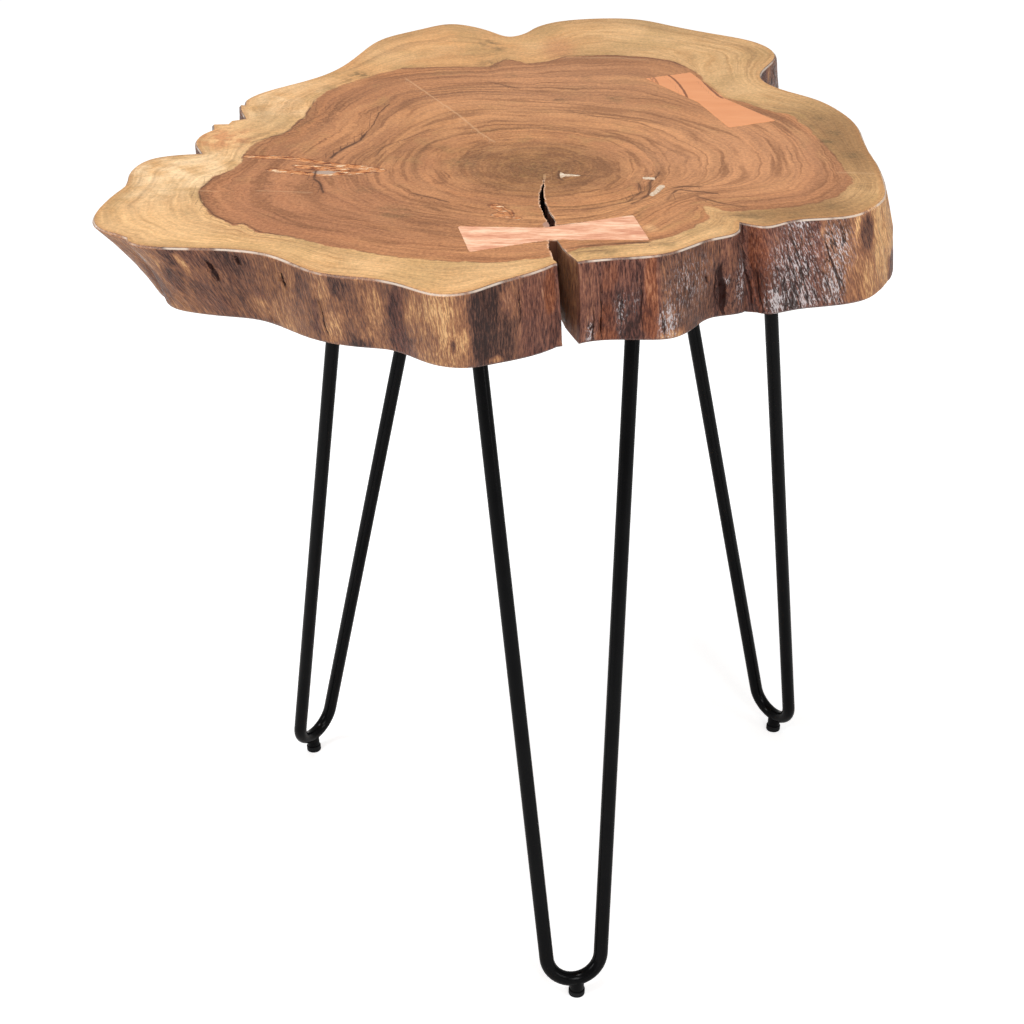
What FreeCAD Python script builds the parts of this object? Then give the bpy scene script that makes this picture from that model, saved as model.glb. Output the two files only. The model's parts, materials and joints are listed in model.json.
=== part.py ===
import FreeCAD, Part
import math
import os

# Accent table: one thick cross-cut slice of a tree trunk with its natural edge, held together over
# its drying check by two butterfly keys, on three splayed hairpin legs. Millimetres, +Z up. The
# origin is on the floor, under the middle of the whole table's outline.

# Slice of trunk
table_height = 559.0
slab_thickness = 50.0
slab_width = 482.0
slab_depth = 560.0
slab_lean = 40.0
edge_bulge = 1.5
edge_ease = 1.5

# Drying check, from its mouth in the front edge towards the pith
check_length = 144.0
check_width = 14.0
check_mouth_place_shares = (0.0591, -0.422)

# Butterfly keys, let into the top face
key_depth = 15.0
key_corner_radius = 1.5
front_key_length = 106.0
front_key_end_width = 42.5
front_key_waist_width = 19.5
front_key_angle = 10.2
front_key_waist_share = 0.47
front_key_place_shares = (0.068, -0.331)
rear_key_length = 121.0
rear_key_end_width = 36.0
rear_key_waist_width = 21.0
rear_key_angle = -66.0
rear_key_waist_share = 0.53
rear_key_place_shares = (0.299, 0.132)

# Hairpin legs, bent from round bar
rod_diameter = 10.0
rod_splay_angle = 11.1
rod_opening_angle = 8.15
bend_radius = 19.2
bend_height = 13.7
foot_circle_radius = 218.0
foot_circle_place_shares = (0.086, 0.0315)

# Mounting plates, welded to the bars and screwed under the slice
plate_thickness = 5.0
plate_end_margin = 12.0
plate_outer_margin = 16.0
plate_inner_margin = 44.0
plate_corner_radius = 8.0
weld_leg = 4.0
weld_toe = 0.5

# Countersunk wood screws
screw_head_diameter = 9.0
screw_shank_diameter = 4.5
screw_head_height = 2.6
screw_length = 28.0
screw_tip_length = 5.0
screw_hole_clearance = 0.3
screw_inner_spacing = 92.0
screw_outer_spacing = 40.0
screw_inner_setback = 31.0
screw_outer_setback = 2.0

# Studs welded under the bends, and their glides
stud_diameter = 10.0
stud_lean_angle = 4.0
glide_diameter = 11.4
glide_height = 4.2
glide_edge_radius = 2.2

# How far a cutting body runs past what it cuts
overrun = 20.0

# Points of the outline, on each side of one, that settle which way is outwards there
outline_neighbours = 3

slab_bottom = table_height - slab_thickness
plate_bottom = slab_bottom - plate_thickness

# The cut face's outline, clockwise seen from above, from the left lip of the check. Each row gives a
# place across and along the face as shares of slab_width and slab_depth, and how far the lower edge
# stands out beyond the upper one as a share of slab_lean. The edge turns sharply between stretches.
front_lobe_shares = [
    (0.069, -0.419, 0.10),
    (0.041, -0.444, 0.06),
    (-0.002, -0.473, -0.06),
    (-0.032, -0.495, -0.24),
    (-0.065, -0.500, -0.38),
    (-0.102, -0.480, -0.38),
    (-0.142, -0.460, -0.42),
    (-0.175, -0.453, -0.43),
    (-0.208, -0.443, -0.40),
    (-0.238, -0.420, -0.30),
    (-0.270, -0.394, -0.30),
    (-0.305, -0.381, -0.41),
    (-0.351, -0.376, -0.48),
    (-0.393, -0.374, -0.60),
    (-0.422, -0.369, -0.72),
    (-0.443, -0.356, -0.84),
    (-0.447, -0.345, -0.86),
]
left_lobe_shares = [
    (-0.466, -0.331, -0.88),
    (-0.488, -0.314, -0.90),
    (-0.498, -0.293, -0.90),
    (-0.500, -0.269, -0.88),
    (-0.495, -0.238, -0.82),
    (-0.486, -0.206, -0.72),
    (-0.478, -0.180, -0.62),
    (-0.480, -0.149, -0.50),
    (-0.475, -0.117, -0.40),
    (-0.461, -0.094, -0.30),
    (-0.435, -0.081, -0.20),
    (-0.395, -0.075, -0.08),
]
broken_edge_shares = [
    (-0.407, -0.046, -0.05),
    (-0.404, -0.004, -0.05),
    (-0.392, 0.012, -0.05),
]
broken_step_shares = [
    (-0.395, 0.033, -0.05),
]
broken_shelf_shares = [
    (-0.375, 0.034, -0.05),
]
broken_corner_shares = [
    (-0.372, 0.046, -0.05),
    (-0.353, 0.054, -0.05),
]
flake_shares = [
    (-0.365, 0.090, -0.03),
    (-0.367, 0.108, -0.03),
]
flake_nick_shares = [
    (-0.361, 0.107, -0.03),
]
back_left_shares = [
    (-0.361, 0.128, -0.02),
    (-0.346, 0.154, 0.02),
    (-0.303, 0.193, 0.05),
    (-0.262, 0.231, 0.08),
    (-0.232, 0.280, 0.10),
    (-0.208, 0.346, 0.12),
    (-0.181, 0.400, 0.08),
    (-0.122, 0.448, 0.02),
    (-0.079, 0.471, -0.05),
    (-0.038, 0.455, -0.08),
    (-0.008, 0.427, -0.06),
    (0.015, 0.410, -0.02),
    (0.035, 0.422, -0.02),
    (0.053, 0.451, -0.06),
    (0.086, 0.481, -0.10),
    (0.132, 0.496, -0.12),
    (0.168, 0.500, -0.12),
    (0.219, 0.494, -0.10),
    (0.270, 0.463, -0.05),
    (0.336, 0.422, 0.00),
    (0.389, 0.388, 0.05),
    (0.414, 0.350, 0.08),
    (0.418, 0.320, 0.08),
    (0.409, 0.289, 0.04),
    (0.393, 0.256, 0.00),
    (0.385, 0.224, 0.00),
    (0.390, 0.201, 0.00),
    (0.416, 0.166, 0.04),
    (0.451, 0.134, 0.08),
    (0.480, 0.085, 0.12),
    (0.494, 0.036, 0.12),
    (0.495, -0.023, 0.12),
    (0.496, -0.067, 0.14),
    (0.500, -0.120, 0.16),
    (0.498, -0.172, 0.18),
    (0.490, -0.222, 0.20),
    (0.470, -0.254, 0.26),
    (0.442, -0.278, 0.36),
    (0.398, -0.288, 0.44),
    (0.358, -0.298, 0.42),
    (0.330, -0.312, 0.38),
    (0.309, -0.306, 0.47),
    (0.299, -0.300, 0.55),
]
front_right_shares = [
    (0.297, -0.318, 0.22),
    (0.287, -0.335, 0.08),
    (0.265, -0.346, 0.02),
    (0.237, -0.366, 0.12),
    (0.204, -0.390, 0.20),
    (0.166, -0.400, 0.10),
    (0.126, -0.406, 0.03),
    (0.098, -0.414, 0.05),
]
outline_stretches_shares = [
    front_lobe_shares,
    left_lobe_shares,
    broken_edge_shares,
    broken_step_shares,
    broken_shelf_shares,
    broken_corner_shares,
    flake_shares,
    flake_nick_shares,
    back_left_shares,
    front_right_shares,
]

# Rows from the mouth of the check to its tip: share of check_length, then the places of its left and
# right walls at the top face and at the bottom face, as shares of check_width.
check_walls_shares = [
    (-0.14, 0.40, 1.42, 0.76, 1.50),
    (0.00, 0.39, 1.39, 0.76, 1.46),
    (0.08, 0.13, 1.04, 0.74, 1.21),
    (0.19, -0.07, 0.59, 0.71, 0.90),
    (0.29, -0.01, 0.39, 0.57, 0.72),
    (0.42, 0.16, 0.37, 0.41, 0.53),
    (0.50, 0.11, 0.43, 0.32, 0.44),
    (0.60, -0.07, 0.18, 0.21, 0.32),
    (0.71, -0.20, -0.02, 0.13, 0.22),
    (0.83, -0.16, -0.06, 0.06, 0.13),
]

# The check's tip: share of check_length, then its place at the top face and at the bottom face.
check_tip_shares = (1.00, 0.00, 0.08)

# For each leg: direction of its foot from the foot circle's middle and its own heading, in degrees,
# its foot's distance as a share of foot_circle_radius, and how far the stud is welded to one side of
# the bend's middle as a share of bend_radius.
leg_places_shares = {
    "left": (154.0, 145.5, 1.005, 0.03),
    "front": (-87.0, -79.7, 0.983, 0.10),
    "right": (34.1, 38.0, 1.032, -0.03),
}


def heading(degrees):
    turn = math.radians(degrees)
    return FreeCAD.Vector(math.cos(turn), math.sin(turn), 0)


def face_place(shares, height):
    return FreeCAD.Vector(shares[0] * slab_width, shares[1] * slab_depth, height)


def outline_section(height, lean_part, bulge, stand_out):
    """One closed wire around the slice, with a spline or a line for each stretch of its outline. The
    edge bulges most where it leans outwards to its foot."""
    rows = [row for stretch in outline_stretches_shares for row in stretch]
    flat = [face_place(row, height) for row in rows]
    moved = []
    for place, row in enumerate(rows):
        along = flat[(place + outline_neighbours) % len(flat)] - flat[place - outline_neighbours]
        out = FreeCAD.Vector(-along.y, along.x, 0).normalize()
        swell = bulge * (1 + row[2])
        moved.append(flat[place] + out * (row[2] * slab_lean * lean_part + swell + stand_out))
    edges = []
    start = 0
    for stretch in outline_stretches_shares:
        end = start + len(stretch) - 1
        if len(stretch) > 1:
            edges.append(outline_spline(flat[start:end + 1], moved[start:end + 1]))
        following = moved[(end + 1) % len(moved)]
        edges.append(Part.LineSegment(moved[end], following).toShape())
        start = end + 1
    return Part.Wire(edges)


def outline_spline(flat, moved):
    """A spline through the moved points, with the spacing of the unmoved ones at every height."""
    reach = [0.0]
    for before, after in zip(flat, flat[1:]):
        reach.append(reach[-1] + (after - before).Length)
    parameters = [value / reach[-1] for value in reach]
    curve = Part.BSplineCurve()
    curve.interpolate(Points=moved, Parameters=parameters)
    return curve.toShape()


def prism(points, rise):
    face = Part.Face(Part.makePolygon(points + points[:1]))
    return face.extrude(FreeCAD.Vector(0, 0, rise))


def make_check():
    """The wedge of air that the drying check takes out of the slice, top to bottom."""
    mouth = face_place(check_mouth_place_shares, 0)

    def wall_point(along_share, side_share, height):
        x = mouth.x + side_share * check_width
        y = mouth.y + along_share * check_length
        return FreeCAD.Vector(x, y, height)

    tip_along, tip_top, tip_bottom = check_tip_shares
    top_left = [(row[0], row[1]) for row in check_walls_shares]
    top_right = [(row[0], row[2]) for row in check_walls_shares]
    bottom_left = [(row[0], row[3]) for row in check_walls_shares]
    bottom_right = [(row[0], row[4]) for row in check_walls_shares]
    sections = []
    for left, right, tip_side, height in (
        (bottom_left, bottom_right, tip_bottom, slab_bottom - overrun),
        (top_left, top_right, tip_top, table_height + overrun),
    ):
        spots = left + [(tip_along, tip_side)] + right[::-1]
        points = [wall_point(along_share, side_share, height) for along_share, side_share in spots]
        sections.append(Part.makePolygon(points + points[:1]))
    return Part.makeLoft(sections, True, True)


def make_key(length, end_width, waist_width, angle, waist_share, place_shares):
    """A butterfly key: two wedges of wood that meet at a narrow waist, flush with the top face."""
    low = table_height - key_depth
    half = length / 2
    waist = (waist_share * 2 - 1) * half
    corners = [
        (-half, end_width / 2),
        (waist, waist_width / 2),
        (half, end_width / 2),
        (half, -end_width / 2),
        (waist, -waist_width / 2),
        (-half, -end_width / 2),
    ]
    along = heading(angle)
    across = FreeCAD.Vector(-along.y, along.x, 0)
    middle = face_place(place_shares, low)
    key = prism([middle + along * u + across * v for u, v in corners], key_depth)
    outer = []
    for edge in key.Edges:
        start, end = (vertex.Point for vertex in edge.Vertexes)
        upright = abs(end.z - start.z) > key_depth / 2
        reach = abs((start - middle).dot(along))
        if upright and reach > half - key_corner_radius:
            outer.append(edge)
    return key.makeFillet(key_corner_radius, outer)


class Leg:
    """Directions and places that the pieces of one leg share."""

    def __init__(self, foot_angle, leg_angle, radius_share, stud_share):
        middle = face_place(foot_circle_place_shares, 0)
        self.foot = middle + heading(foot_angle) * (foot_circle_radius * radius_share)
        self.out = heading(leg_angle)
        self.side = FreeCAD.Vector(-self.out.y, self.out.x, 0)
        splay = math.radians(rod_splay_angle)
        self.down = self.out * math.sin(splay) - FreeCAD.Vector(0, 0, math.cos(splay))
        self.slope = math.tan(splay)
        self.bend_bottom = self.axis_point(bend_height)
        self.bend_middle = self.bend_bottom - self.down * bend_radius
        self.stud_top = self.bend_bottom + self.side * (stud_share * bend_radius)

    def axis_point(self, height):
        """Where the line midway between the two bars is at a height."""
        return self.foot - self.out * (height * self.slope) + FreeCAD.Vector(0, 0, height)

    def bar_direction(self, hand):
        """Upwards along a bar; hand is 1 for the bar on the side direction and -1 for the other."""
        half = math.radians(rod_opening_angle / 2)
        return self.side * (hand * math.sin(half)) - self.down * math.cos(half)

    def bar_start(self, hand):
        """Where a straight bar meets the bend."""
        half = math.radians(rod_opening_angle / 2)
        outward = self.side * (hand * math.cos(half)) + self.down * math.sin(half)
        return self.bend_middle + outward * bend_radius

    def bar_point(self, hand, height):
        start = self.bar_start(hand)
        direction = self.bar_direction(hand)
        return start + direction * ((height - start.z) / direction.z)

    def plate_point(self, across, setback, height):
        """A place on the mounting plate: across it from its middle line, and inwards of the bars."""
        line = self.axis_point(plate_bottom)
        spot = line + self.side * across - self.out * setback
        return FreeCAD.Vector(spot.x, spot.y, height)


def make_slab(check, keys, screws):
    sections = [
        outline_section(slab_bottom, 1, 0, -edge_ease),
        outline_section(slab_bottom + edge_ease, 1, 0, 0),
        outline_section(slab_bottom + slab_thickness / 2, 0.5, edge_bulge, 0),
        outline_section(table_height - edge_ease, 0, 0, 0),
        outline_section(table_height, 0, 0, -edge_ease),
    ]
    slab = Part.makeLoft(sections, True, True)
    slab = slab.cut(check)
    for tool in keys + screws:
        slab = slab.cut(tool)
    return slab


def above(height):
    """A block of space over a height, to trim a leg's piece flat against what lies above it."""
    size = slab_width + slab_depth
    corner = FreeCAD.Vector(-size, -size, height)
    return Part.makeBox(size * 2, size * 2, table_height, corner)


def make_rod(leg):
    """Two straight bars and the bend between them, cut flat under the mounting plate."""
    radius = rod_diameter / 2
    pieces = []
    for hand in (1, -1):
        start = leg.bar_start(hand)
        direction = leg.bar_direction(hand)
        length = (leg.bar_point(hand, plate_bottom) - start).Length + rod_diameter
        pieces.append(Part.makeCylinder(radius, length, start, direction))
    circle = Part.Wire(Part.Circle(leg.bar_start(1), leg.bar_direction(1), radius).toShape())
    normal = leg.side.cross(leg.down)
    turn = 180 - rod_opening_angle
    bend = Part.Face(circle).revolve(leg.bend_middle, normal, turn)
    rod = pieces[0].fuse([bend, pieces[1]]).removeSplitter()
    return rod.cut(above(plate_bottom))


def make_plate(leg, screws):
    """A flat steel plate with rounded corners and countersunk holes."""
    bars_apart = (leg.bar_point(1, plate_bottom) - leg.bar_point(-1, plate_bottom)).Length
    half = bars_apart / 2 + plate_end_margin
    corners = [
        leg.plate_point(-half, -plate_outer_margin, plate_bottom),
        leg.plate_point(half, -plate_outer_margin, plate_bottom),
        leg.plate_point(half, plate_inner_margin, plate_bottom),
        leg.plate_point(-half, plate_inner_margin, plate_bottom),
    ]
    plate = prism(corners, plate_thickness)
    upright = [edge for edge in plate.Edges if edge.BoundBox.ZLength > plate_thickness / 2]
    plate = plate.makeFillet(plate_corner_radius, upright)
    hole_radius = screw_shank_diameter / 2 + screw_hole_clearance
    for spot in screw_spots(leg):
        plate = plate.cut(Part.makeCylinder(hole_radius, plate_thickness, spot))
    for screw in screws:
        plate = plate.cut(screw)
    return plate


def screw_spots(leg):
    """Where the screws enter the plate's lower face."""
    return [
        leg.plate_point(hand * spacing / 2, setback, plate_bottom)
        for spacing, setback in (
            (screw_inner_spacing, screw_inner_setback),
            (screw_outer_spacing, screw_outer_setback),
        )
        for hand in (1, -1)
    ]


def make_screw(spot):
    """A countersunk screw, head down, turned from its profile."""
    head = screw_head_diameter / 2
    shank = screw_shank_diameter / 2
    profile = [
        (0, 0),
        (head, 0),
        (shank, screw_head_height),
        (shank, screw_length - screw_tip_length),
        (0, screw_length),
    ]
    points = [spot + FreeCAD.Vector(radius, 0, rise) for radius, rise in profile]
    face = Part.Face(Part.makePolygon(points + points[:1]))
    return face.revolve(spot, FreeCAD.Vector(0, 0, 1), 360)


def make_welds(leg, rod):
    """The fillet of weld metal around the top of each bar."""
    beads = []
    radius = rod_diameter / 2
    for hand in (1, -1):
        top = leg.bar_point(hand, plate_bottom)
        down = leg.bar_direction(hand) * -1
        start = top - down * weld_leg
        wide = radius + weld_leg * 2
        narrow = radius + weld_toe
        cone = Part.makeCone(wide, narrow, weld_leg * 2, start, down)
        beads.append(cone.cut(above(plate_bottom)).cut(rod))
    return Part.makeCompound(beads)


def stud_direction(leg):
    lean = math.radians(stud_lean_angle)
    return leg.out * -math.sin(lean) - FreeCAD.Vector(0, 0, math.cos(lean))


def stud_length():
    """From the middle of the bar at the bend down to the top of the glide."""
    return (bend_height - glide_height) / math.cos(math.radians(stud_lean_angle))


def make_stud(leg, rod):
    """A short round stud welded under the bend."""
    stud = Part.makeCylinder(stud_diameter / 2, stud_length(), leg.stud_top, stud_direction(leg))
    pieces = stud.cut(rod).Solids
    return min(pieces, key=lambda piece: piece.CenterOfMass.z)


def make_glide(leg):
    """A round-edged plastic glide on the end of the stud, flat where it stands on the floor."""
    direction = stud_direction(leg)
    top = leg.stud_top + direction * stud_length()
    length = glide_height / math.cos(math.radians(stud_lean_angle)) + glide_edge_radius / 2
    glide = Part.makeCylinder(glide_diameter / 2, length, top, direction)
    end = top + direction * length
    rim = [
        edge for edge in glide.Edges
        if edge.Closed and (edge.BoundBox.Center - end).Length < glide_height / 2
    ]
    glide = glide.makeFillet(glide_edge_radius, rim)
    size = glide_diameter * 2
    corner = FreeCAD.Vector(end.x - size, end.y - size, -size)
    return glide.cut(Part.makeBox(size * 2, size * 2, size, corner))


pieces = {}
check = make_check()
front_key = make_key(
    front_key_length, front_key_end_width, front_key_waist_width,
    front_key_angle, front_key_waist_share, front_key_place_shares,
)
rear_key = make_key(
    rear_key_length, rear_key_end_width, rear_key_waist_width,
    rear_key_angle, rear_key_waist_share, rear_key_place_shares,
)
pieces["butterfly_key_front"] = front_key
pieces["butterfly_key_rear"] = rear_key

all_screws = []
for name, place_shares in leg_places_shares.items():
    leg = Leg(*place_shares)
    screws = [make_screw(spot) for spot in screw_spots(leg)]
    all_screws += screws
    rod = make_rod(leg)
    pieces["hairpin_rod_" + name] = rod
    pieces["mounting_plate_" + name] = make_plate(leg, screws)
    pieces["wood_screws_" + name] = Part.makeCompound(screws)
    pieces["weld_beads_" + name] = make_welds(leg, rod)
    pieces["foot_stud_" + name] = make_stud(leg, rod)
    pieces["glide_" + name] = make_glide(leg)

pieces["trunk_slab"] = make_slab(check, [front_key, rear_key], all_screws)

box = pieces["trunk_slab"].optimalBoundingBox()
to_origin = FreeCAD.Vector(-box.Center.x, -box.Center.y, 0)

os.makedirs("parts", exist_ok=True)
for name, shape in pieces.items():
    shape.translate(to_origin)
    shape.exportStep("parts/" + name + ".step")
    print(name, "solids", len(shape.Solids), "valid", shape.isValid(), "volume", round(shape.Volume, 1))
print("moved by", to_origin.x, to_origin.y)
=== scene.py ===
import bmesh
import bpy
import json
import math
import mathutils
import numpy as np
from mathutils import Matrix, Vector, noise

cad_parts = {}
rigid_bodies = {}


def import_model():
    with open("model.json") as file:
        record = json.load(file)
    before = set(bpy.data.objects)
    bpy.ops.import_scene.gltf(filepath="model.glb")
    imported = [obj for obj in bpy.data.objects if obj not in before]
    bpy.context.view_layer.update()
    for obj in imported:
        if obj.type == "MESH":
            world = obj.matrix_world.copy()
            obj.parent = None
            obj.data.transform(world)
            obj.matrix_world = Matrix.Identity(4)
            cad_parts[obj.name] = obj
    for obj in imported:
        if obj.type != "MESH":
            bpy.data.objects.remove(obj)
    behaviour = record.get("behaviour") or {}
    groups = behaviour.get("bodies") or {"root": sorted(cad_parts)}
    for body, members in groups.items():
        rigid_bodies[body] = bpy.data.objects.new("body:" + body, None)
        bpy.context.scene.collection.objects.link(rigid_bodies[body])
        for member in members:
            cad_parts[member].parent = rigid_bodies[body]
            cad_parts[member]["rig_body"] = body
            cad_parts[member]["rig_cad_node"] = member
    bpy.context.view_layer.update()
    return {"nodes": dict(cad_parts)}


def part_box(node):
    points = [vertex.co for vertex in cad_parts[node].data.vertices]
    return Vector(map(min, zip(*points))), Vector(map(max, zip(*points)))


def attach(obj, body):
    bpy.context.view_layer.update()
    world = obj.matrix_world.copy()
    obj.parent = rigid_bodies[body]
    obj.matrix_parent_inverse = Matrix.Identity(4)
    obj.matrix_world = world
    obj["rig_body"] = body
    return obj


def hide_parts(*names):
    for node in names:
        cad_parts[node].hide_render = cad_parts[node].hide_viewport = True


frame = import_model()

# Trunk slab.
# One thick slice sawn across a fluted trunk, bark off and its natural edge kept, sanded flat on top and lacquered.
# The solid is cut into a fine net, so that the end grain, the bark pocket, the splits and the ridges can be worked.
MM = 0.001
top_level = 559 * MM
under_level = 509 * MM
net_step = 4 * MM
net_layers = 10
pith = np.array((22.0, -72.0)) * MM
thickness = 50 * MM
weld_gap = 0.01 * MM
cut_gap = 0.001 * MM
level_gap = 0.05 * MM
arris_depth = 0.4 * MM
smooth_angle = math.radians(40)
# The check's place as seen from above: left, right, front and back, in millimetres.
check_left, check_right, check_front, check_back = 18, 48, -229, -88

# Lines of the end grain, read off the top in millimetres, each once round from the right.
dark_ring = (
    (98, -62), (94, -42), (83, -22), (66, -6), (45, 3), (20, 8), (-5, 5), (-25, -2), (-42, -15), (-52, -35),
    (-56, -60), (-53, -85), (-42, -108), (-22, -126), (5, -138), (30, -141), (55, -137), (75, -126), (88, -112),
    (95, -88),
)
outer_ring = (
    (171, -60), (170, -35), (165, -10), (150, 20), (128, 48), (100, 67), (75, 76), (40, 80), (10, 86), (-20, 90),
    (-50, 83), (-67, 70), (-76, 48), (-84, 15), (-92, -10), (-106, -40), (-117, -65), (-116, -95), (-108, -120),
    (-88, -142), (-60, -158), (-25, -175), (0, -182), (30, -185), (55, -175), (72, -160), (84, -143), (98, -128),
    (107, -115), (122, -112), (145, -106), (160, -95), (168, -80),
)
heartwood_edge = (
    (215, -79), (212, -49), (207, -19), (201, 11), (194, 38), (182, 45), (166, 64), (150, 78), (143, 106),
    (137, 136), (130, 151), (122, 164), (107, 174), (77, 179), (45, 175), (30, 162), (17, 158), (2, 170),
    (-5, 160), (-10, 150), (-43, 150), (-73, 146), (-101, 121), (-123, 91), (-130, 71), (-133, 36), (-143, 1),
    (-160, -19), (-165, -39), (-165, -54), (-170, -74), (-181, -89), (-186, -109), (-183, -129), (-173, -154),
    (-158, -172), (-154, -168), (-143, -184), (-123, -191), (-103, -204), (-83, -214), (-43, -229), (-3, -232),
    (27, -224), (45, -209), (82, -201), (100, -191), (112, -176), (122, -162), (122, -148), (117, -134),
    (124, -140), (132, -147), (142, -149), (155, -145), (172, -140), (190, -134), (203, -123), (212, -108),
    (217, -92),
)
# Dark cracks and ring lines, and a painted shadow beside the forked chip: width, strength and points.
dark_lines = (
    (0.9, 0.8, ((-78, 62), (-84, 44), (-86, 20), (-91, -4))),
    (1.7, 0.9, ((-91, -4), (-93, -15), (-104, -34), (-110, -50))),
    (1.3, 0.9, ((-117, -76), (-118, -90), (-113, -98), (-110, -115))),
    (0.9, 0.55, ((-82, -48), (-77, -28), (-60, -8), (-48, 8))),
    (1.6, 0.7, ((-55, -117), (-44, -124), (-33, -132))),
    (0.9, 0.7, ((42, 177), (60, 178), (80, 179), (104, 173), (120, 164), (130, 150))),
    (1.0, 0.7, ((-186, -112), (-183, -130), (-173, -153), (-158, -171), (-154, -167), (-142, -183), (-123, -191))),
    (0.8, 0.6, ((-168, -70), (-180, -89), (-186, -109))),
    (1.5, 0.8, ((106, -106), (110, -104.5), (122, -104))),
    (1.4, 0.8, ((100, -128), (103, -118), (106, -112), (109, -110), (114, -112), (125, -115), (131, -118))),
    (1.4, 0.7, ((119, -123), (128, -131), (138, -138), (146, -140))),
    (1.4, 0.8, ((98, -78), (96, -85), (94, -90), (91, -96), (90.5, -110), (88, -121), (84, -128), (78, -135))),
    (1.0, 0.7, ((84, -99), (85, -110), (84, -116), (79, -125), (76, -131))),
    # Painted shadow along the left and upper side of the forked chip.
    (1.2, 0.6, ((35, -76), (34.6, -84), (35, -90), (37.5, -93))),
    (0.8, 0.5, ((37, -77), (42, -81), (49, -83))),
    (0.8, 0.5, ((61, -86), (52, -84), (48, -84))),
    (1.6, 0.6, ((-10, 114), (0, 106), (10, 98))),
    (1.2, 0.5, ((36, 73), (50, 74))),
    (1.4, 0.45, ((45, 46), (62, 36), (80, 30), (100, 22))),
    (0.9, 0.5, ((2, 171), (-4, 160), (-8, 150), (-40, 149), (-72, 146))),
    (0.9, 0.5, ((17, 158), (32, 163), (44, 175))),
    (0.9, 0.6, ((-163, -19), (-143, 1), (-133, 36), (-130, 70))),
    (0.8, 0.4, ((-117, 62), (-122, 40), (-133, 20), (-150, -10))),
    (0.8, 0.6, ((0, -142), (4, -150), (6, -160), (2, -167))),
    (1.1, 0.5, ((33, -146), (55, -144), (75, -132), (88, -122))),
    (1.5, 0.75, ((38, -210), (46, -206.5), (56, -204.5), (71, -201.5), (84, -200))),
    (1.2, 0.6, ((43, -216), (51, -214), (60, -212))),
)
pale_lines = (
    (0.7, 0.55, ((-69, 121), (-45, 70), (-30, 38), (-16, 2), (-6, -18))),
    (0.9, 0.5, ((25, -96), (26.5, -82))),
    (0.9, 0.5, ((210, -78), (232, -80))),
    (0.8, 0.45, ((-186, -112), (-176, -113))),
    (0.9, 0.4, ((-150, -112), (-118, -115))),
    (1.2, 0.5, ((44, 172), (60, 173), (80, 174), (103, 168))),
)
bark_lines = (
    (6.0, 1.0, ((-162, -47), (-154, -49), (-140, -49), (-124, -56), (-108, -62), (-92, -68), (-76, -74))),
    (6.0, 1.0, ((-146, -73), (-129, -78), (-116, -83), (-104, -81), (-91, -78), (-78, -74))),
    (9.0, 0.75, ((-128, -66), (-116, -71), (-100, -73))),
    (6.0, 0.95, ((-5, -138), (0, -145), (4, -152))),
    (5.0, 0.95, ((-4, -154), (2, -157), (9, -160))),
)
# Greenish-grey stains: place, radius and strength.
stains = (
    (-12, 210, 9, 0.9), (-4, 196, 7, 0.7), (-16, 222, 7, 0.5), (-10, 158, 12, 0.6), (-101, 131, 11, 0.9),
    (-112, 118, 8, 0.5), (-120, 100, 7, 0.5), (212, -18, 7, 1.0), (217, 0, 6, 0.8), (206, 15, 6, 0.6),
    (222, -45, 8, 0.6), (212, 32, 7, 0.5), (76, 74, 8, 0.6), (40, 72, 7, 0.5), (-64, -150, 14, 0.6),
    (143, -155, 9, 0.8), (156, -158, 8, 0.7), (175, -157, 8, 0.5), (200, -140, 9, 0.5), (220, -105, 9, 0.4),
    (-28, -60, 12, 0.6), (5, 127, 6, 0.5), (140, 175, 6, 0.4), (-85, -110, 8, 0.4), (60, 120, 7, 0.4),
    (-205, -120, 14, 0.25), (-190, -150, 12, 0.3), (-90, -238, 14, 0.25), (60, -214, 10, 0.5), (95, -202, 8, 0.5),
)
# Slits and worm holes of the edge, cut in as grooves and painted dark as the shade inside them, seen from the front:
# x, lower and upper height, width, depth.
side_slits = (
    (-174.5, 536, 551, 3.6, 3.0), (-154.5, 549, 556, 2.2, 2.0), (-128.0, 541, 550, 2.0, 2.0),
    (56.5, 509, 546, 0.7, 1.5), (52.0, 509, 530, 0.5, 0.8), (118.0, 534, 538, 1.6, 2.5),
    (126.5, 510, 543, 3.4, 2.6), (139.5, 509, 557, 1.1, 1.6), (123.0, 518, 540, 0.7, 1.0),
    (143.5, 509, 535, 0.8, 1.0), (188.0, 530, 549, 0.9, 0.8), (79.0, 515, 545, 0.7, 0.6),
    (10.0, 530, 552, 0.6, 0.6), (-108.0, 515, 540, 0.8, 0.8),
)
# How pale and how red the weathered edge is along the front: x, paleness, redness.
edge_tones = (
    (-246, 0.6, 0.2), (-214, 0.68, 0.1), (-198, 0.5, 0.2), (-178, 0.38, 0.2), (-150, 0.4, 0.2),
    (-128, 0.56, 0.1), (-97, 0.48, 0.1), (-82, 0.54, 0.1), (-66, 0.5, 0.2), (-58, 0.28, 0.4), (-50, 0.62, 0.1),
    (-30, 0.8, 0.0), (-20, 0.5, 0.1), (-14, 0.13, 0.2), (-2, 0.14, 0.1), (9, 0.44, 0.3), (20, 0.36, 0.7),
    (28, 0.4, 1.05), (36, 0.34, 0.7), (50, 0.34, 0.6), (60, 0.32, 0.9), (69, 0.24, 0.8), (80, 0.26, 0.8),
    (84, 0.42, 1.15), (88, 0.42, 1.15), (91, 0.3, 0.1), (120, 0.3, 0.1), (139, 0.2, 0.4), (143, 0.26, 0.9),
    (148, 0.32, 1.1), (154, 0.32, 1.1), (157, 0.24, 0.5), (186, 0.24, 0.5), (189, 0.42, 0.2), (204, 0.42, 0.1),
    (207, 0.64, 0.0), (214, 0.64, 0.0), (224, 0.9, 0.1), (236, 0.9, 0.1), (240, 0.7, 0.1), (250, 0.66, 0.1),
)
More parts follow.
